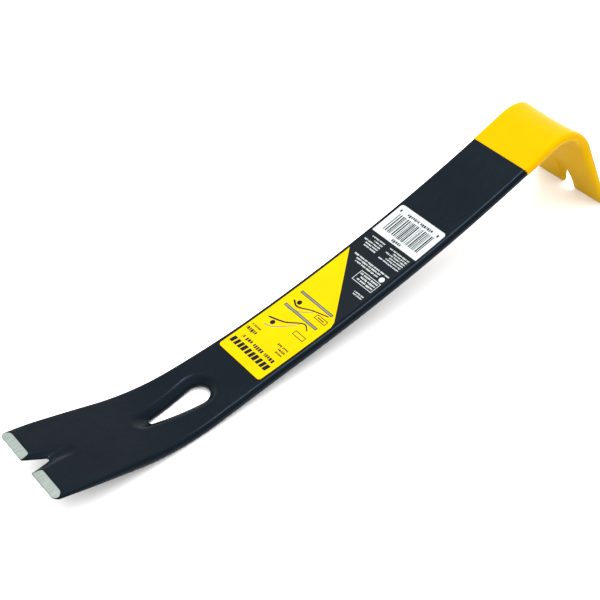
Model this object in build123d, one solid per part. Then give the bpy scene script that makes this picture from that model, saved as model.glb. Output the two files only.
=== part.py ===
from build123d import *
import math
import os

os.makedirs("parts", exist_ok=True)

# One-piece flat pry bar. Every station is a distance in millimetres along the middle line of the
# upper face, measured from the claw tip. The bar is drawn with its claw level, then laid down the
# way it rests: on the belly of the claw bend and on the tip of the hook.

# ---- driving dimensions (mm, degrees) ----
claw_run = 46.0
claw_bend_radius = 110.6
claw_bend_angle = 19.16
shank_radius = 805.6
shank_angle = 14.89
hook_radius = 20.0
hook_angle = 92.98
hook_leg = 40.5

shank_width = 36.4
claw_width = 46.4
claw_flare_length = 130.0
hook_width = 47.4
thickness = 4.3
claw_tip_thickness = 1.5
hook_tip_thickness = 1.2
hook_taper_run = 36.0
edge_radius = 2.0
edge_share = 0.44
claw_corner_radius = 3.0
hook_corner_radius = 3.0

black_film = 0.2
yellow_film = 0.25
yellow_start = 273.3

claw_slot_depth = 10.8
claw_slot_mouth = 8.8
claw_slot_end_radius = 1.3
claw_dish_end = 21.0
claw_dish_end_radius = 2.8
claw_dish_mouth = 11.8
claw_dish_depth = 1.3
claw_dish_above = 0.6

hook_slot_depth = 12.4
hook_slot_mouth = 7.6
hook_slot_end_radius = 1.0
hook_dish_end = 20.0
hook_dish_end_radius = 3.4
hook_dish_mouth = 8.6
hook_dish_depth = 0.9
hook_dish_above = 0.6

hole_station = 75.0
hole_tip = -13.4
hole_tip_radius = 1.9
hole_end = 10.2
hole_end_radius = 6.0
hole_dish_tip = -18.0
hole_dish_tip_radius = 4.4
hole_dish_end = 10.0
hole_dish_end_radius = 9.4
hole_dish_depth = 2.2
hole_dish_above = 2.4

ground_length = 4.1
ground_drop = 1.1

label_start = 108.9
label_end = 223.4
label_width = 31.0
label_corner = 1.6
label_film = 0.2
label_glue = 0.03

clear = 60.0
slot_overrun = 12.0
dish_film_share = 0.75
claw_steps = 20
hook_bend_steps = 12
hook_leg_steps = 8
tilt_tolerance = 1e-9

# ---- the middle line of the upper face ----
claw_bend_run = claw_bend_radius * math.radians(claw_bend_angle)
shank_run = shank_radius * math.radians(shank_angle)
hook_bend_run = hook_radius * math.radians(hook_angle)
runs = [
    (claw_run, 0.0),
    (claw_bend_run, 1 / claw_bend_radius),
    (shank_run, 1 / shank_radius),
    (hook_bend_run, -1 / hook_radius),
    (hook_leg, 0.0),
]
shank_end = claw_run + claw_bend_run + shank_run
hook_start = shank_end + hook_bend_run
bar_end = hook_start + hook_leg


def line_at(station):
    """Place and heading (x, z, radians) of the middle line at a station."""
    x, z, heading = 0.0, 0.0, 0.0
    left = station
    for index, (length, bend) in enumerate(runs):
        last = index == len(runs) - 1
        step = left if last or left < length else length
        turned = heading + bend * step
        if bend == 0:
            x += step * math.cos(heading)
            z += step * math.sin(heading)
        else:
            x += (math.sin(turned) - math.sin(heading)) / bend
            z += (math.cos(heading) - math.cos(turned)) / bend
        heading = turned
        left -= step
        if left <= 0 and not last:
            break
    return x, z, heading


def across_plane(station):
    """Plane square to the bar: local X runs across the width, local Y points out of the top face."""
    x, z, heading = line_at(station)
    return Plane(origin=(x, 0, z), x_dir=(0, 1, 0), z_dir=(math.cos(heading), 0, math.sin(heading)))


def face_plane(station):
    """Plane lying on the top face: local X runs along the bar towards the hook, local Z outwards."""
    x, z, heading = line_at(station)
    along = (math.cos(heading), 0, math.sin(heading))
    outward = (-math.sin(heading), 0, math.cos(heading))
    return Plane(origin=(x, 0, z), x_dir=along, z_dir=outward)


def eased(share):
    """Smooth step from 0 to 1 as share goes from 0 to 1."""
    share = min(max(share, 0), 1)
    return share**2 * (3 - 2 * share)


def width_at(station):
    """Bar width: the claw end and the hook flare out smoothly."""
    claw_part = eased(1 - station / claw_flare_length)
    hook_part = eased((station - shank_end) / (bar_end - shank_end))
    return shank_width + (claw_width - shank_width) * claw_part + (hook_width - shank_width) * hook_part


def thickness_at(station):
    """Bar thickness: both ends are drawn down to a wedge."""
    if station < claw_run:
        return claw_tip_thickness + (thickness - claw_tip_thickness) * station / claw_run
    to_tip = bar_end - station
    if to_tip < hook_taper_run:
        return hook_tip_thickness + (thickness - hook_tip_thickness) * to_tip / hook_taper_run
    return thickness


def section(station, film):
    """Cross-section of the bar, grown outwards by a film thickness."""
    deep = thickness_at(station)
    rounding = min(edge_radius, edge_share * deep) + film
    outline = RectangleRounded(width_at(station) + 2 * film, deep + 2 * film, rounding)
    return across_plane(station) * Pos(0, -deep / 2) * outline


def two_circle_outline(first, first_radius, second, second_radius):
    """Outline of two circles centred on the X axis and the straight lines that touch them both."""
    lean = math.asin((second_radius - first_radius) / (second - first))
    side = (-math.sin(lean), math.cos(lean))
    first_top = (first + first_radius * side[0], first_radius * side[1])
    second_top = (second + second_radius * side[0], second_radius * side[1])
    first_low = (first_top[0], -first_top[1])
    second_low = (second_top[0], -second_top[1])
    upper = Line(first_top, second_top)
    end = ThreePointArc(second_top, (second + second_radius, 0), second_low)
    lower = Line(second_low, first_low)
    start = ThreePointArc(first_low, (first - first_radius, 0), first_top)
    return make_face([upper, end, lower, start])


def slot_outline(depth, mouth, end_radius):
    """Two circles whose outline is a V slot: one far outside the tip, one at the slot's end."""
    inner = depth - end_radius
    lean = math.atan2(mouth / 2 - end_radius, inner)
    return -slot_overrun, end_radius + (inner + slot_overrun) * math.sin(lean), inner, end_radius


def through_cutter(place, outline, film):
    """Cutter right through the bar. Film on the walls makes the opening narrower."""
    first, first_radius, second, second_radius = outline
    face = two_circle_outline(first, first_radius - film, second, second_radius - film)
    return place * Pos(0, 0, -clear / 2) * extrude(face, clear)


def dish_cutter(place, low, level, depth, above, film):
    """Sloping recess from outline low, at a depth, to outline level on the face and beyond it."""
    grown = dish_film_share * film
    reach = 1 + above / depth
    high = [a + (b - a) * reach for a, b in zip(low, level)]
    faces = []
    for outline, height in ((low, -depth), (high, above)):
        first, first_radius, second, second_radius = outline
        face = two_circle_outline(first, first_radius - grown, second, second_radius - grown)
        faces.append(place * Pos(0, 0, height + grown) * face)
    return loft(faces, ruled=True)


def corner_cutters(place, half_width, radius, film):
    """Two cutters that round the outer corners of a tip. Local X of place points into the bar."""
    cutters = []
    for side in (1, -1):
        block = Pos(radius / 2 - clear / 4, side * (half_width - radius / 2 + clear / 4))
        square = block * Rectangle(radius + clear / 2, radius + clear / 2)
        round_part = Pos(radius, side * (half_width - radius)) * Circle(radius + film)
        cutters.append(place * Pos(0, 0, -clear / 2) * extrude(square - round_part, clear))
    return cutters


# ---- the whole bar, grown by a film thickness ----
claw_slot = slot_outline(claw_slot_depth, claw_slot_mouth, claw_slot_end_radius)
claw_dish = slot_outline(claw_dish_end, claw_dish_mouth, claw_dish_end_radius)
hook_slot = slot_outline(hook_slot_depth, hook_slot_mouth, hook_slot_end_radius)
hook_dish = slot_outline(hook_dish_end, hook_dish_mouth, hook_dish_end_radius)
hole = (hole_tip, hole_tip_radius, hole_end, hole_end_radius)
hole_dish = (hole_dish_tip, hole_dish_tip_radius, hole_dish_end, hole_dish_end_radius)

claw_face = face_plane(0)
hook_face = face_plane(bar_end) * Rot(0, 0, 180)
hook_wedge = math.degrees(math.atan2(thickness - hook_tip_thickness, hook_taper_run))
hook_inner_face = hook_face * Pos(0, 0, -hook_tip_thickness) * Rot(0, hook_wedge, 0) * Rot(180, 0, 0)
hole_face = face_plane(hole_station)


def spread(first, last, steps):
    """Evenly spaced stations from first to last."""
    return [first + (last - first) * step / steps for step in range(steps + 1)]


def bent_run(station, film, run, radius, side):
    """A stretch of constant section bent about an axis across the bar, above (1) or below (-1)."""
    x, z, heading = line_at(station)
    centre = (x - side * radius * math.sin(heading), 0, z + side * radius * math.cos(heading))
    axis = Axis(centre, (0, -side, 0))
    return revolve(section(station, film), axis, math.degrees(run / radius))


def bar(film):
    claw_stations = [-film] + spread(0, claw_flare_length, claw_steps)[1:]
    claw = loft([section(station, film) for station in claw_stations])
    shank = bent_run(claw_flare_length, film, shank_end - claw_flare_length, shank_radius, 1)
    hook_bend = loft([section(station, film) for station in spread(shank_end, hook_start, hook_bend_steps)])
    leg = loft([section(station, film) for station in spread(hook_start, bar_end + film, hook_leg_steps)])
    solid = claw + shank + hook_bend + leg
    solid -= through_cutter(claw_face, claw_slot, film)
    solid -= dish_cutter(claw_face, claw_slot, claw_dish, claw_dish_depth, claw_dish_above, film)
    solid -= through_cutter(hole_face, hole, film)
    solid -= dish_cutter(hole_face, hole, hole_dish, hole_dish_depth, hole_dish_above, film)
    solid -= through_cutter(hook_face, hook_slot, film)
    solid -= dish_cutter(hook_inner_face, hook_slot, hook_dish, hook_dish_depth, hook_dish_above, film)
    for cutter in corner_cutters(claw_face, claw_width / 2, claw_corner_radius, film):
        solid -= cutter
    for cutter in corner_cutters(hook_face, hook_width / 2, hook_corner_radius, film):
        solid -= cutter
    return solid


def grinder():
    """Block whose underside is the flat ground across both claw tips."""
    slope = math.degrees(math.atan2(ground_drop, ground_length))
    block = Box(4 * ground_length, clear, clear / 4, align=(Align.CENTER, Align.CENTER, Align.MIN))
    return Pos(0, 0, -ground_drop) * Rot(0, -slope, 0) * block


def beyond(station):
    """Block that takes in everything on the hook side of a station."""
    block = Box(4 * clear, 2 * clear, 4 * clear, align=(Align.CENTER, Align.CENTER, Align.MIN))
    return across_plane(station) * block


def label_sheet():
    """Thin film a glue's thickness above the shank, cut to a rectangle with rounded corners."""
    x, z, heading = line_at(label_start)
    centre = (x - shank_radius * math.sin(heading), 0, z + shank_radius * math.cos(heading))
    height = black_film + label_glue + label_film / 2
    sheet = Pos(0, height) * Rectangle(label_width, label_film)
    angle = math.degrees((label_end - label_start) / shank_radius)
    film = revolve(across_plane(label_start) * sheet, Axis(centre, (0, -1, 0)), angle)
    middle = (label_start + label_end) / 2
    half_turn = math.radians(angle / 2)
    chord = 2 * (shank_radius - black_film - label_film) * math.sin(half_turn)
    place = face_plane(middle) * Pos(0, 0, -clear / 4)
    return film & (place * extrude(RectangleRounded(chord, label_width, label_corner), clear / 2))


def resting_tilt():
    """Angle in degrees that brings the belly of the claw bend and the hook tip to one level."""
    tip_film = black_film + yellow_film
    x, z, heading = line_at(bar_end + tip_film)
    deep = thickness_at(bar_end) + tip_film
    tip_x = x + deep * math.sin(heading)
    tip_z = z - deep * math.cos(heading)
    belly_radius = claw_bend_radius + thickness + black_film
    low, high = 0.0, math.radians(claw_bend_angle)
    while high - low > tilt_tolerance:
        tilt = (low + high) / 2
        belly = claw_bend_radius * math.cos(tilt) - claw_run * math.sin(tilt) - belly_radius
        tip = tip_z * math.cos(tilt) - tip_x * math.sin(tilt)
        low, high = (tilt, high) if tip > belly else (low, tilt)
    return math.degrees(low)


# ---- the pieces ----
bare_bar = bar(0)
blackened_bar = bar(black_film)
dipped_bar = bar(black_film + yellow_film)

pieces = {
    "steel_bar": bare_bar - grinder(),
    "black_coat": blackened_bar - bare_bar - grinder(),
    "yellow_coat": (dipped_bar - blackened_bar) & beyond(yellow_start),
    "label": label_sheet(),
}

laid_down = {name: Rot(0, resting_tilt(), 0) * piece for name, piece in pieces.items()}
box = Compound([solid for piece in laid_down.values() for solid in piece.solids()]).bounding_box()
origin = Pos(-box.center().X, 0, -box.min.Z)

for name, piece in laid_down.items():
    solids = [origin * solid for solid in piece.solids()]
    export_step(solids[0] if len(solids) == 1 else Compound(solids), f"parts/{name}.step")
    print(name, "volume", round(piece.volume, 1), "solids", len(solids))

print("tilt at rest", round(resting_tilt(), 3))
print("size", [round(side, 2) for side in box.size])
print("claw tip middle at", [round(value, 3) for value in (origin * Rot(0, resting_tilt(), 0)).position])
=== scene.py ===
import math

import bmesh
import bpy
import numpy as np
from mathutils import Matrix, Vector


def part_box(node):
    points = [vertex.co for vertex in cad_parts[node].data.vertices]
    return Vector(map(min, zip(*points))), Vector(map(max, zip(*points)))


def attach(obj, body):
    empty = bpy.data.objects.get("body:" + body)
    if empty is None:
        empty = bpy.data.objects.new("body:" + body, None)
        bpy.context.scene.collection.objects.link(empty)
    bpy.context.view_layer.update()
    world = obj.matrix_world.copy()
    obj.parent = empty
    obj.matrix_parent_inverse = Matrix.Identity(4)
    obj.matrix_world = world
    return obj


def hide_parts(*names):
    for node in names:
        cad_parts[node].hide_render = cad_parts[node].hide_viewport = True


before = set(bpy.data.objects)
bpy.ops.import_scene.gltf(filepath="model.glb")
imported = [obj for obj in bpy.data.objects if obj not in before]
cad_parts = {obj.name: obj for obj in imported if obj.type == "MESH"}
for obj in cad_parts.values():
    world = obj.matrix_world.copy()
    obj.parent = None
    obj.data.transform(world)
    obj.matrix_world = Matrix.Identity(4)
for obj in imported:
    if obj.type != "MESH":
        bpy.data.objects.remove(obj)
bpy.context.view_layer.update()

# The bar is shaped straight, then bent. Straight coordinates, in millimetres: s along the middle
# line of the steel's upper face from the claw tip, y across, z above that face.

# ---- the bar, as in the CAD ----
claw_run = 46.0
claw_bend_radius = 110.6
claw_bend_run = claw_bend_radius * math.radians(19.16)
shank_radius = 805.6
shank_run = shank_radius * math.radians(14.89)
hook_radius = 20.0
hook_bend_run = hook_radius * math.radians(92.98)
hook_leg = 40.5
runs = [
    (claw_run, 0.0),
    (claw_bend_run, 1 / claw_bend_radius),
    (shank_run, 1 / shank_radius),
    (hook_bend_run, -1 / hook_radius),
    (hook_leg, 0.0),
]
shank_end = claw_run + claw_bend_run + shank_run
hook_start = shank_end + hook_bend_run
bar_end = hook_start + hook_leg
resting_tilt = math.radians(13.5336)

shank_width = 36.4
claw_width = 46.4
claw_flare = 130.0
hook_width = 47.4
thickness = 4.3
claw_tip_thickness = 1.5
hook_tip_thickness = 1.2
hook_taper = 36.0
edge_radius = 2.0
edge_share = 0.44
corner_radius = 3.0
crest_sag = 0.2
crest_lift = 0.8
crest_reach = 17.0

black_film = 0.2
yellow_film = 0.25
yellow_start = 273.3

slot_overrun = 12.0
claw_dish_depth = 1.3
hook_dish_depth = 0.9
hole_station = 75.0
hole = (-13.4, 1.9, 10.2, 6.0)
hole_dish = (-18.2, 4.4, 10.0, 9.4)
hole_dish_depth = 2.2
claw_soft = 0.9
hole_soft = 1.0
hook_soft = 0.5
rise_soft = 0.3

ground_length = 4.1
ground_drop = 1.1
ground_step = 0.04
brow_fall = 0.75
brow_width = 3.6
brow_length = 16.0

# ---- the label ----
label_start = 108.9
label_end = 223.4
label_half = 15.5
label_corner = 1.6
label_low = black_film + 0.03
label_top = label_low + 0.2
panel_edge = 0.02
panel_top = label_top + 0.02
ink_top = panel_top + 0.02
ink_step = 3.0


# ---- shaping the straight bar ----
def line_at(station):
    """Middle line x, z and heading for an array of stations."""
    x = np.zeros_like(station)
    z = np.zeros_like(station)
    heading = np.zeros_like(station)
    left = station.copy()
    for index, (length, bend) in enumerate(runs):
        low = -np.inf if index == 0 else 0
        high = np.inf if index == len(runs) - 1 else length
        step = np.clip(left, low, high)
        turned = heading + bend * step
        if bend == 0:
            x += step * np.cos(heading)
            z += step * np.sin(heading)
        else:
            x += (np.sin(turned) - np.sin(heading)) / bend
            z += (np.cos(heading) - np.cos(turned)) / bend
        heading = turned
        left -= step
    return x, z, heading


def eased(share):
    share = np.clip(share, 0, 1)
    return share**2 * (3 - 2 * share)


def width_at(s):
    claw_part = eased(1 - s / claw_flare)
    hook_part = eased((s - shank_end) / (bar_end - shank_end))
    claw_extra = (claw_width - shank_width) * claw_part
    hook_extra = (hook_width - shank_width) * hook_part
    return shank_width + claw_extra + hook_extra


def thickness_at(s):
    claw = claw_tip_thickness + (thickness - claw_tip_thickness) * s / claw_run
    hook = hook_tip_thickness + (thickness - hook_tip_thickness) * (bar_end - s) / hook_taper
    return np.maximum(np.minimum(np.minimum(claw, hook), thickness), hook_tip_thickness)


def smooth_max(a, b, soft):
    overlap = np.maximum(soft - np.abs(a - b), 0) / soft
    return np.maximum(a, b) + overlap**2 * soft / 4


def rounded_max(a, b, radius):
    """The larger of two distances, with the corner between them rounded to a radius."""
    over = np.hypot(np.maximum(a + radius, 0), np.maximum(b + radius, 0))
    return over + np.minimum(np.maximum(a + radius, b + radius), 0) - radius


def two_circle_distance(u, y, first, first_radius, second, second_radius):
    """Distance from the outline round two circles on the u axis, negative inside."""
    span = second - first
    lean = (first_radius - second_radius) / span
    flat = np.sqrt(1 - lean**2)
    across = np.abs(y)
    ahead = u - first
    share = flat * ahead - lean * across
    at_first = np.hypot(across, ahead) - first_radius
    at_second = np.hypot(across, ahead - span) - second_radius
    between = flat * across + lean * ahead - first_radius
    return np.where(share < 0, at_first, np.where(share > flat * span, at_second, between))


def slot_outline(depth, mouth, end_radius):
    inner = depth - end_radius
    lean = math.atan2(mouth / 2 - end_radius, inner)
    return -slot_overrun, end_radius + (inner + slot_overrun) * math.sin(lean), inner, end_radius


def opening(u, y, height, low, level, depth):
    """Through opening whose outline spreads, from a depth up to the face, into a sloping dish."""
    rise = smooth_max(height / depth + 1, 0, rise_soft)
    sizes = [a + (b - a) * rise for a, b in zip(low, level)]
    return two_circle_distance(u, y, *sizes)


claw_slot = slot_outline(10.8, 8.8, 1.3)
claw_dish = slot_outline(21.0, 11.8, 2.8)
hook_slot = slot_outline(12.4, 7.6, 1.0)
hook_dish = slot_outline(20.0, 8.6, 3.4)


def steel(s, y, z):
    """Signed distance from the bare steel, before its claw tips are ground."""
    half = width_at(s) / 2
    crest = eased(1 - np.abs(s - (shank_end + hook_start) / 2) / crest_reach)
    z = z + crest * (crest_sag - (crest_sag + crest_lift) * (y / half) ** 2)
    deep = thickness_at(s)
    plan = rounded_max(np.maximum(-s, s - bar_end), np.abs(y) - half, corner_radius)
    to_edge = np.maximum(np.abs(y) - half, -two_circle_distance(s, y, *claw_slot))
    fall = brow_fall * np.clip(1 + to_edge / brow_width, 0, 1) ** 2 * eased(1 - s / brow_length)
    slab = np.maximum(z + fall, -z - deep)
    body = rounded_max(plan, slab, np.minimum(edge_radius, edge_share * deep))
    claw = opening(s, y, z, claw_slot, claw_dish, claw_dish_depth)
    body = smooth_max(body, -claw, claw_soft)
    nail = opening(s - hole_station, y, z, hole, hole_dish, hole_dish_depth)
    body = smooth_max(body, -nail, hole_soft)
    hook = opening(bar_end - s, y, -z - deep, hook_slot, hook_dish, hook_dish_depth)
    return smooth_max(body, np.where(s > hook_start, -hook, -99), hook_soft)


# ---- meshing ----
def spaced(*stretches):
    """Grid values from stretches of (first, last, step)."""
    parts = [np.arange(first, last - step / 2, step) for first, last, step in stretches]
    return np.concatenate(parts + [[stretches[-1][1]]])


# fine over the claw, the nail hole and the hook leg, coarse along the plain shank
grid = (
    spaced(
        (-1.2, 24, 0.45),
        (24, 51, 0.9),
        (51, 98, 0.5),
        (98, 288, 3),
        (288, 325, 1.2),
        (325, 367, 0.55),
    ),
    spaced((-25.2, 25.2, 0.56)),
    spaced((-5.5, -1.9, 0.4), (-1.9, 0.96, 0.22), (0.96, 1.8, 0.28)),
)
newton_steps = 4
least_slope = 0.2
gradient_reach = 0.02
longest_step = 0.3


def gradient(field, points):
    slopes = []
    for axis in range(3):
        ahead = points.copy()
        behind = points.copy()
        ahead[:, axis] += gradient_reach
        behind[:, axis] -= gradient_reach
        slopes.append((field(*ahead.T) - field(*behind.T)) / (2 * gradient_reach))
    return np.stack(slopes, 1)


def surface_net(field):
    """Points and four-sided faces of the surface where a field is zero."""
    value = field(*np.meshgrid(*grid, indexing="ij"))
    cells = tuple(len(axis) - 1 for axis in grid)
    total = np.zeros(cells + (3,))
    count = np.zeros(cells)
    edges = []
    for axis in range(3):
        low = np.take(value, np.arange(cells[axis]), axis)
        high = np.take(value, np.arange(1, cells[axis] + 1), axis)
        crossed = (low < 0) != (high < 0)
        share = np.where(crossed, low / np.where(crossed, low - high, 1), 0)
        starts = [line[:-1] if index == axis else line for index, line in enumerate(grid)]
        place = np.stack(np.meshgrid(*starts, indexing="ij"), -1)
        stride = np.diff(grid[axis]).reshape([-1 if index == axis else 1 for index in range(3)])
        place[..., axis] += share * stride
        for first in (0, 1):
            for second in (0, 1):
                window = [slice(None)] * 3
                window[(axis + 1) % 3] = slice(first, first + cells[(axis + 1) % 3])
                window[(axis + 2) % 3] = slice(second, second + cells[(axis + 2) % 3])
                window = tuple(window)
                total += place[window] * crossed[window][..., None]
                count += crossed[window]
        edges.append((crossed, low < 0))
    used = count > 0
    number = np.full(cells, -1)
    number[used] = np.arange(used.sum())
    points = total[used] / count[used][:, None]
    for _ in range(newton_steps):
        slope = gradient(field, points)
        step = field(*points.T) / np.maximum((slope**2).sum(1), least_slope)
        points -= np.clip(step, -longest_step, longest_step)[:, None] * slope
    faces = []
    for axis, (crossed, low_inside) in enumerate(edges):
        found = np.argwhere(crossed)
        one = np.zeros(3, int)
        two = np.zeros(3, int)
        one[(axis + 1) % 3] = 1
        two[(axis + 2) % 3] = 1
        corners = [found - one - two, found - two, found, found - one]
        quad = np.stack([number[tuple(corner.T)] for corner in corners], 1)
        outward = low_inside[tuple(found.T)]
        faces.append(np.where(outward[:, None], quad, quad[:, ::-1]))
    return points, np.concatenate(faces)


def laid(points):
    """Straight coordinates in millimetres to the lying bar in metres, before it is shifted."""
    x, z, heading = line_at(points[:, 0].astype(float))
    x = x - points[:, 2] * np.sin(heading)
    z = z + points[:, 2] * np.cos(heading)
    cosine, sine = math.cos(resting_tilt), math.sin(resting_tilt)
    return np.stack([x * cosine + z * sine, points[:, 1], z * cosine - x * sine], 1) / 1000


label_corners = np.array([[s, 0, z] for s in (label_start, label_end) for z in (label_low, label_top)])
shift = np.array(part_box("label")[0]) - laid(label_corners).min(0)
shift[1] = 0


def bent(points):
    return laid(points) + shift


def add_piece(name, points, faces, slot_name, material, smooth=True):
    mesh = bpy.data.meshes.new(name)
    mesh.from_pydata(points.tolist(), [], [list(face) for face in faces])
    mesh.update()
    piece = bpy.data.objects.new(name, mesh)
    bpy.context.scene.collection.objects.link(piece)
    mesh.polygons.foreach_set("use_smooth", [smooth] * len(mesh.polygons))
    mesh.materials.append(material)
    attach(piece, "root")
    return piece


def grind(piece, lower):
    """Cuts both claw tips to a flat in straight coordinates and closes the cut."""
    shape = bmesh.new()
    shape.from_mesh(piece.data)
    place = (0, 0, -ground_drop - lower)
    facing = Vector((-ground_drop, 0, ground_length)).normalized()
    parts = shape.verts[:] + shape.edges[:] + shape.faces[:]
    cut = bmesh.ops.bisect_plane(shape, geom=parts, plane_co=place, plane_no=facing, clear_outer=True)
    rim = [part for part in cut["geom_cut"] if isinstance(part, bmesh.types.BMEdge)]
    filled = bmesh.ops.edgeloop_fill(shape, edges=rim)
    for edge in rim:
        edge.smooth = False
    for face in filled["faces"]:
        face.smooth = False
        face.normal_update()
        if face.normal.dot(facing) < 0:
            face.normal_flip()
    shape.to_mesh(piece.data)
    shape.free()


def bend_piece(piece):
    points = np.zeros(len(piece.data.vertices) * 3)
    piece.data.vertices.foreach_get("co", points)
    piece.data.vertices.foreach_set("co", bent(points.reshape(-1, 3)).ravel())
    piece.data.update()


# ---- materials ----
def finish_nodes(name):
    """New material: its nodes, links, shader and object-coordinate socket."""
    material = bpy.data.materials.new(name)
    material.use_nodes = True
    nodes = material.node_tree.nodes
    place = nodes.new("ShaderNodeTexCoord").outputs["Object"]
    return material, nodes, material.node_tree.links, nodes["Principled BSDF"], place


def noise(nodes, links, place, size, detail, stretch=(1, 1, 1)):
    mapping = nodes.new("ShaderNodeMapping")
    mapping.inputs["Scale"].default_value = stretch
    links.new(place, mapping.inputs["Vector"])
    texture = nodes.new("ShaderNodeTexNoise")
    texture.inputs["Scale"].default_value = 1 / size
    texture.inputs["Detail"].default_value = detail
    links.new(mapping.outputs["Vector"], texture.inputs["Vector"])
    return texture.outputs["Fac"]


def ramp(nodes, links, source, low, high, dark, light):
    mix = nodes.new("ShaderNodeValToRGB")
    mix.color_ramp.elements[0].position = low
    mix.color_ramp.elements[0].color = (*dark, 1)
    mix.color_ramp.elements[1].position = high
    mix.color_ramp.elements[1].color = (*light, 1)
    links.new(source, mix.inputs["Fac"])
    return mix.outputs["Color"]


def bumps(nodes, links, shader, layers):
    """Chain of bump layers, each (height socket, depth in metres)."""
    last = None
    for height, depth in layers:
        bump = nodes.new("ShaderNodeBump")
        bump.inputs["Strength"].default_value = 1.0
        bump.inputs["Distance"].default_value = depth
        links.new(height, bump.inputs["Height"])
        if last is not None:
            links.new(last, bump.inputs["Normal"])
        last = bump.outputs["Normal"]
    links.new(last, shader.inputs["Normal"])


def spread_rough(nodes, links, shader, source, low, high):
    span = nodes.new("ShaderNodeMapRange")
    span.inputs["To Min"].default_value = low
    span.inputs["To Max"].default_value = high
    links.new(source, span.inputs["Value"])
    links.new(span.outputs["Result"], shader.inputs["Roughness"])


def coated(name, dark, light, rough, specular, tint, forge_depth, grain_depth):
    """Paint over a forged surface: broad unevenness, fine grain and uneven gloss."""
    material, nodes, links, shader, place = finish_nodes(name)
    broad = noise(nodes, links, place, 0.03, 3)
    forge = noise(nodes, links, place, 0.006, 2)
    grain = noise(nodes, links, place, 0.0009, 4)
    links.new(ramp(nodes, links, broad, 0.3, 0.7, dark, light), shader.inputs["Base Color"])
    spread_rough(nodes, links, shader, grain, rough - 0.07, rough + 0.07)
    shader.inputs["Specular IOR Level"].default_value = specular
    shader.inputs["Specular Tint"].default_value = (*tint, 1)
    bumps(nodes, links, shader, [(forge, forge_depth), (grain, grain_depth)])
    return material


def ground_steel():
    """Bare steel with the fine parallel lines a grinding belt leaves."""
    material, nodes, links, shader, place = finish_nodes("ground_steel")
    lines = noise(nodes, links, place, 0.00035, 5, (0.06, 1, 0.06))
    cloud = noise(nodes, links, place, 0.004, 3)
    colour = ramp(nodes, links, lines, 0.3, 0.75, (0.11, 0.132, 0.12), (0.21, 0.237, 0.22))
    links.new(colour, shader.inputs["Base Color"])
    spread_rough(nodes, links, shader, cloud, 0.5, 0.65)
    shader.inputs["Metallic"].default_value = 1.0
    bumps(nodes, links, shader, [(lines, 0.00004)])
    return material


def printed(name, dark, light, rough, tint):
    """Satin print on a self-adhesive film."""
    material, nodes, links, shader, place = finish_nodes(name)
    cloud = noise(nodes, links, place, 0.012, 3)
    grain = noise(nodes, links, place, 0.0005, 2)
    links.new(ramp(nodes, links, cloud, 0.3, 0.7, dark, light), shader.inputs["Base Color"])
    spread_rough(nodes, links, shader, grain, rough - 0.05, rough + 0.05)
    shader.inputs["Specular IOR Level"].default_value = 0.06
    shader.inputs["Specular Tint"].default_value = (*tint, 1)
    bumps(nodes, links, shader, [(cloud, 0.00005)])
    return material


black_paint = coated(
    "black_paint",
    dark=(0.001, 0.0019, 0.0029),
    light=(0.0019, 0.0032, 0.0047),
    rough=0.26,
    specular=0.06,
    tint=(0.5, 0.72, 1.0),
    forge_depth=0.00012,
    grain_depth=0.00003,
)
yellow_dip = coated(
    "yellow_dip",
    dark=(0.35, 0.195, 0.0),
    light=(0.378, 0.214, 0.0),
    rough=0.34,
    specular=0.03,
    tint=(1.0, 0.7, 0.0),
    forge_depth=0.00012,
    grain_depth=0.000008,
)
steel_finish = ground_steel()
neutral = (1.0, 1.0, 1.0)
cool = (0.6, 0.8, 1.0)
warm = (1.0, 0.8, 0.0)
label_black = printed("label_black", (0.0016, 0.0024, 0.0032), (0.0024, 0.0034, 0.0044), 0.45, cool)
label_yellow = printed("label_yellow", (0.345, 0.25, 0.0), (0.38, 0.272, 0.0), 0.45, warm)
label_white = printed("label_white", (0.285, 0.305, 0.305), (0.31, 0.33, 0.33), 0.5, neutral)
label_grey = printed("label_grey", (0.1, 0.105, 0.1), (0.125, 0.13, 0.125), 0.5, neutral)


# ---- the bar's pieces ----
def black_field(s, y, z):
    return steel(s, y, z) - black_film


def yellow_field(s, y, z):
    return np.maximum(steel(s, y, z) - black_film - yellow_film, yellow_start - s)


core = add_piece("forged_bar", *surface_net(steel), "forged_steel", steel_finish)
grind(core, 0)
bend_piece(core)
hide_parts("steel_bar")

paint = add_piece("black_paint_skin", *surface_net(black_field), "black_paint", black_paint)
grind(paint, ground_step)
bend_piece(paint)
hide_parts("black_coat")

dip = add_piece("yellow_dip_skin", *surface_net(yellow_field), "yellow_dip", yellow_dip)
bend_piece(dip)
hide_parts("yellow_coat")

label_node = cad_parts["label"]
label_node.data.materials.clear()
label_node.data.materials.append(label_black)


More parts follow.
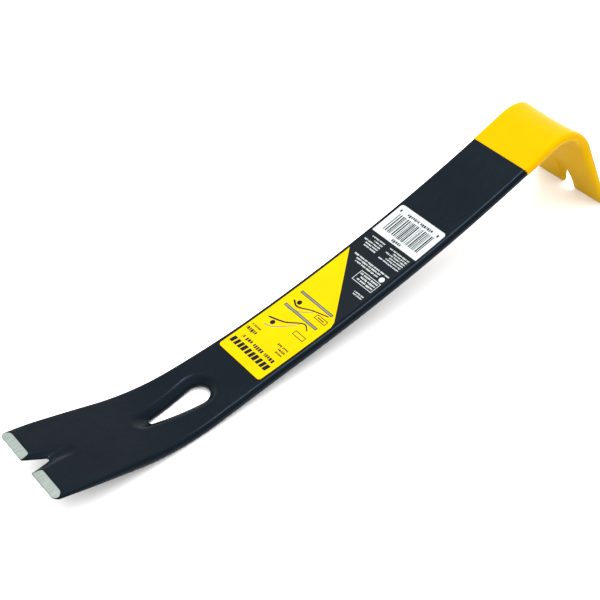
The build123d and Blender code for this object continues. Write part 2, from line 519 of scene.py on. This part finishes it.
# ---- the label's printing ----
class Ink:
    """Thin raised print gathered from ribbons, each a left and a right line of (s, y) points."""

    def __init__(self, low, high):
        self.low = low
        self.high = high
        self.points = []
        self.faces = []

    def ribbon(self, left, right):
        base = len(self.points)
        count = len(left)
        for a, b in zip(left, right):
            for height in (self.low, self.high):
                self.points.append((a[0], a[1], height))
                self.points.append((b[0], b[1], height))
        for index in range(count - 1):
            a = base + 4 * index
            b = a + 4
            self.faces.append((a + 2, a + 3, b + 3, b + 2))
            self.faces.append((a, b, b + 1, a + 1))
            self.faces.append((a, a + 2, b + 2, b))
            self.faces.append((a + 1, b + 1, b + 3, a + 3))
        last = base + 4 * (count - 1)
        self.faces.append((base, base + 1, base + 3, base + 2))
        self.faces.append((last, last + 2, last + 3, last + 1))

    def block(self, s0, s1, y0, y1, slant=0.0):
        """Rectangle, or a parallelogram whose far end (s1) is slanted across by some millimetres."""
        count = max(2, int((s1 - s0) / ink_step) + 2)
        stations = np.linspace(s0, s1, count)
        lean = [slant * (s - s0) / (s1 - s0) for s in stations]
        left = [(s, y1 + shift_across) for s, shift_across in zip(stations, lean)]
        right = [(s, y0 + shift_across) for s, shift_across in zip(stations, lean)]
        self.ribbon(left, right)

    def frame(self, s0, s1, y0, y1, line):
        self.block(s0, s0 + line, y0, y1)
        self.block(s1 - line, s1, y0, y1)
        self.block(s0 + line, s1 - line, y0, y0 + line)
        self.block(s0 + line, s1 - line, y1 - line, y1)

    def text(self, s0, s1, y0, y1, seed):
        """Row of blank letter-sized blocks in words, running across the bar."""
        chance = np.random.default_rng(seed)
        tall = s1 - s0
        y = y0
        letters = int(chance.integers(3, 8))
        while y < y1:
            wide = tall * chance.uniform(0.3, 0.62)
            cut = tall * chance.uniform(0, 0.3)
            self.block(s0 + cut, s1, y, min(y + wide, y1))
            y += wide + 0.22 * tall
            letters -= 1
            if letters == 0:
                letters = int(chance.integers(3, 8))
                y += 0.45 * tall

    def disc(self, s, y, radius):
        turns = np.linspace(0.08, math.pi - 0.08, 15)
        left = [(s - radius * math.cos(turn), y + radius * math.sin(turn)) for turn in turns]
        self.ribbon(left, [(a, 2 * y - b) for a, b in left])

    def stroke(self, corners, width, taper=1.0):
        """Curved line through corner points, with a width that may taper."""
        corners = np.array(corners, float)
        ends = np.concatenate([[2 * corners[0] - corners[1]], corners, [2 * corners[-1] - corners[-2]]])
        path = []
        for a, b, c, d in zip(ends, ends[1:], ends[2:], ends[3:]):
            for t in np.linspace(0, 1, 6)[:-1]:
                path.append(0.5 * (2 * b + (c - a) * t + (2 * a - 5 * b + 4 * c - d) * t**2
                                   + (3 * b - a - 3 * c + d) * t**3))
        path = np.array(path + [corners[-1]])
        along = np.gradient(path, axis=0)
        side = np.stack([-along[:, 1], along[:, 0]], 1) / np.linalg.norm(along, axis=1)[:, None]
        halves = np.linspace(width / 2, taper * width / 2, len(path))[:, None]
        self.ribbon(path + side * halves, path - side * halves)

    def add(self, name, material):
        piece = add_piece(name, np.array(self.points), self.faces, "printed_label", material, smooth=False)
        shape = bmesh.new()
        shape.from_mesh(piece.data)
        bmesh.ops.recalc_face_normals(shape, faces=shape.faces[:])
        shape.to_mesh(piece.data)
        shape.free()
        bend_piece(piece)
        return piece


def label_edge(s):
    """Half width of the label with its rounded corners."""
    near = min(s - label_start, label_end - s)
    into = label_corner - min(near, label_corner)
    return label_half - label_corner + math.sqrt(label_corner**2 - into**2) + panel_edge


def panel_stations(first, last):
    corner = [label_corner * (1 - math.cos(turn)) for turn in np.linspace(0, math.pi / 2, 7)]
    fixed = [label_start + step for step in corner] + [label_end - step for step in corner]
    stations = list(np.arange(first, last, ink_step)) + [last] + fixed
    return sorted({round(float(s), 4) for s in stations if first <= s <= last})


def panel(first, last, right_edge=None):
    ink = Ink(black_film / 2, panel_top)
    stations = panel_stations(first, last)
    left = [(s, label_edge(s)) for s in stations]
    right = [(s, -label_edge(s)) for s in stations]
    if right_edge is not None:
        right = [(s, max(edge, right_edge(s))) for s, edge in right]
    ink.ribbon(left, right)
    return ink


diagonal_near = 152.6
diagonal_far = 188.7


def diagonal(s):
    share = (s - diagonal_near) / (diagonal_far - diagonal_near)
    return (2 * share - 1) * label_half if share > 0 else -label_half


panel(label_start, diagonal_far, diagonal).add("label_yellow_print", label_yellow)
white_start = 203.3
panel(white_start, label_end).add("label_white_print", label_white)

sunk = 0.01
blob_radius = 1.3
outline = 0.35
board_outline = 0.3
tool_line = 0.9
ghost_line = 0.6
line_taper = 0.6

# Two plain drawings of a bar under a board: the bar's curve, its fulcrum, the board's ends along
# and across the label, the far edge of an empty frame beside it, and a faint earlier bar position.
drawings = [
    {
        "bar": [(135.5, 11.5), (138.5, 3), (143.8, -4.5), (142, -9)],
        "fulcrum": (134.5, 7.3),
        "board": (144.9, 146.4, -11.5, 12.0),
        "frame": (136.4, 139.0, -12.2, -4.8),
        "ghost": [(131.2, 9.6), (133, 5), (138, 0), (142.5, -3.5)],
    },
    {
        "bar": [(150, 10.5), (148.3, 6), (151.5, -1), (154.2, -10)],
        "fulcrum": (150.6, 7.2),
        "board": (154.9, 156.4, -11.0, 12.0),
        "frame": (149.4, 152.0, -12.4, -4.9),
        "ghost": [(146.4, 11.6), (144.8, 8), (147.5, 2), (151.5, -2.5)],
    },
]


def print_heading(ink):
    """Row of equal slanted blocks where a heading would be."""
    blocks = 10
    pitch = 2.75
    for index in range(blocks):
        low = -12.8 + index * pitch
        wide = 1.9 if index % 3 else 2.2
        ink.block(114.0, 117.5, low, low + wide, -0.5)


def print_stripes(ink):
    """Stripes of random width and spacing, which encode nothing."""
    chance = np.random.default_rng(12)
    y = -12.3
    while y < 12.0:
        wide = chance.choice([0.3, 0.5, 0.75])
        ink.block(206.8, 218.4, y, y + wide)
        y += wide + chance.choice([0.35, 0.55, 0.8])


def print_rows(ink, rows, height, seed_scale):
    """Rows of blank letter blocks, each (station, start across, end across)."""
    for station, start, end in rows:
        ink.text(station, station + height, start, end, int(station * seed_scale))


def print_dark():
    ink = Ink(panel_top - sunk, ink_top)
    print_heading(ink)
    ink.text(118.8, 120.9, -12.0, 11.3, 1)
    ink.text(123.5, 125.6, 7.3, 14.3, 2)
    ink.text(127.0, 128.1, 7.5, 13.5, 3)
    for index, end in enumerate((-7.5, -7.0, -4.7)):
        start = 123.7 + 1.95 * index
        ink.text(start, start + 1.2, -12.0, end, 4 + index)
    for drawing in drawings:
        ink.stroke(drawing["bar"], tool_line, line_taper)
    for drawing in drawings:
        ink.disc(*drawing["fulcrum"], blob_radius)
        ink.frame(*drawing["board"], board_outline)
        ink.frame(*drawing["frame"], outline)
    ink.block(150.4, 150.9, -10.6, -6.4)
    ink.text(203.9, 205.6, -3.0, 3.5, 9)
    print_stripes(ink)
    ink.text(219.3, 221.0, -9.0, 9.0, 13)
    for side in (-1, 1):
        ink.block(219.4, 220.9, side * 12.9 - 0.5, side * 12.9 + 0.5)
    ink.add("label_dark_print", label_black)


def print_grey():
    inset = 0.05
    ink = Ink(panel_top - sunk, panel_top + sunk)
    for drawing in drawings:
        s0, s1, y0, y1 = drawing["board"]
        ink.block(s0 + inset, s1 - inset, y0 + 2 * inset, y1 - 2 * inset)
        ink.stroke(drawing["ghost"], ghost_line, line_taper)
    ink.add("label_grey_print", label_grey)


def print_light():
    ink = Ink(label_top - sunk, panel_top)
    for index in range(2):
        start = 170.8 + 1.3 * index
        ink.text(start, start + 0.8, -13.3, -7.0, 20 + index)
    ink.frame(176.7, 183.2, -13.7, 0.0, board_outline)
    boxed = [(177.7, -12.7, -2.0), (179.4, -12.7, -2.5), (181.1, -12.7, -0.8)]
    wide = [(184.6, -9.0, 7.0), (186.2, -9.0, 8.5), (187.7, -13.5, 11.0)]
    far = [(193.9, 12.0), (195.4, 12.5), (196.9, 14.3), (198.5, 9.0), (200.2, 12.0)]
    near = [(193.2, 0.0), (194.7, -3.5), (196.1, -4.5), (197.5, -0.5), (198.9, -4.0), (200.3, -0.5)]
    print_rows(ink, boxed, 1.1, 1)
    print_rows(ink, wide, 0.95, 1)
    ink.disc(185.3, -11.8, 1.5)
    print_rows(ink, [(station, 3.3, end) for station, end in far], 0.85, 10)
    print_rows(ink, [(station, -13.8, end) for station, end in near], 0.8, 7)
    ink.add("label_light_print", label_white)


print_dark()
print_grey()
print_light()


# ---- floor, light and camera ----
camera_place = (-0.27521, -0.36, 0.42642)
camera_turn = (47.6875, 2.6669, -37.9819)
camera_lens = 78.764


def add_camera():
    data = bpy.data.cameras.new("camera")
    data.lens = camera_lens
    data.clip_start = 0.01
    camera = bpy.data.objects.new("camera", data)
    camera.location = camera_place
    camera.rotation_euler = [math.radians(angle) for angle in camera_turn]
    bpy.context.scene.collection.objects.link(camera)
    bpy.context.scene.camera = camera


def add_area_light(name, place, size, power):
    """Rectangular light aimed at the middle of the bar."""
    data = bpy.data.lights.new(name, "AREA")
    data.shape = "RECTANGLE"
    data.size, data.size_y = size
    data.energy = power
    light_object = bpy.data.objects.new(name, data)
    light_object.location = place
    light_object.rotation_euler = (-Vector(place)).to_track_quat("-Z", "Y").to_euler()
    bpy.context.scene.collection.objects.link(light_object)


def add_floor():
    bpy.ops.mesh.primitive_plane_add(size=6, location=(0, 0, -0.0002))
    floor = bpy.context.object
    floor.name = "floor"
    material, nodes, links, shader, place = finish_nodes("floor_paper")
    cloud = noise(nodes, links, place, 0.5, 2)
    colour = ramp(nodes, links, cloud, 0.3, 0.7, (0.88, 0.88, 0.88), (0.9, 0.9, 0.9))
    links.new(colour, shader.inputs["Base Color"])
    shader.inputs["Roughness"].default_value = 0.95
    shader.inputs["Specular IOR Level"].default_value = 0.0
    floor.data.materials.append(material)


add_floor()
world = bpy.data.worlds.new("studio")
bpy.context.scene.world = world
world.use_nodes = True
world.node_tree.nodes["Background"].inputs["Color"].default_value = (1, 1, 1, 1)
world.node_tree.nodes["Background"].inputs["Strength"].default_value = 2.0
add_area_light("softbox", (0, 0, 1.2), (1.6, 1.6), 11)
add_area_light("key", (0.12, 0.2, 1.15), (0.3, 0.3), 12)
add_camera()
bpy.context.scene.view_settings.view_transform = "Standard"
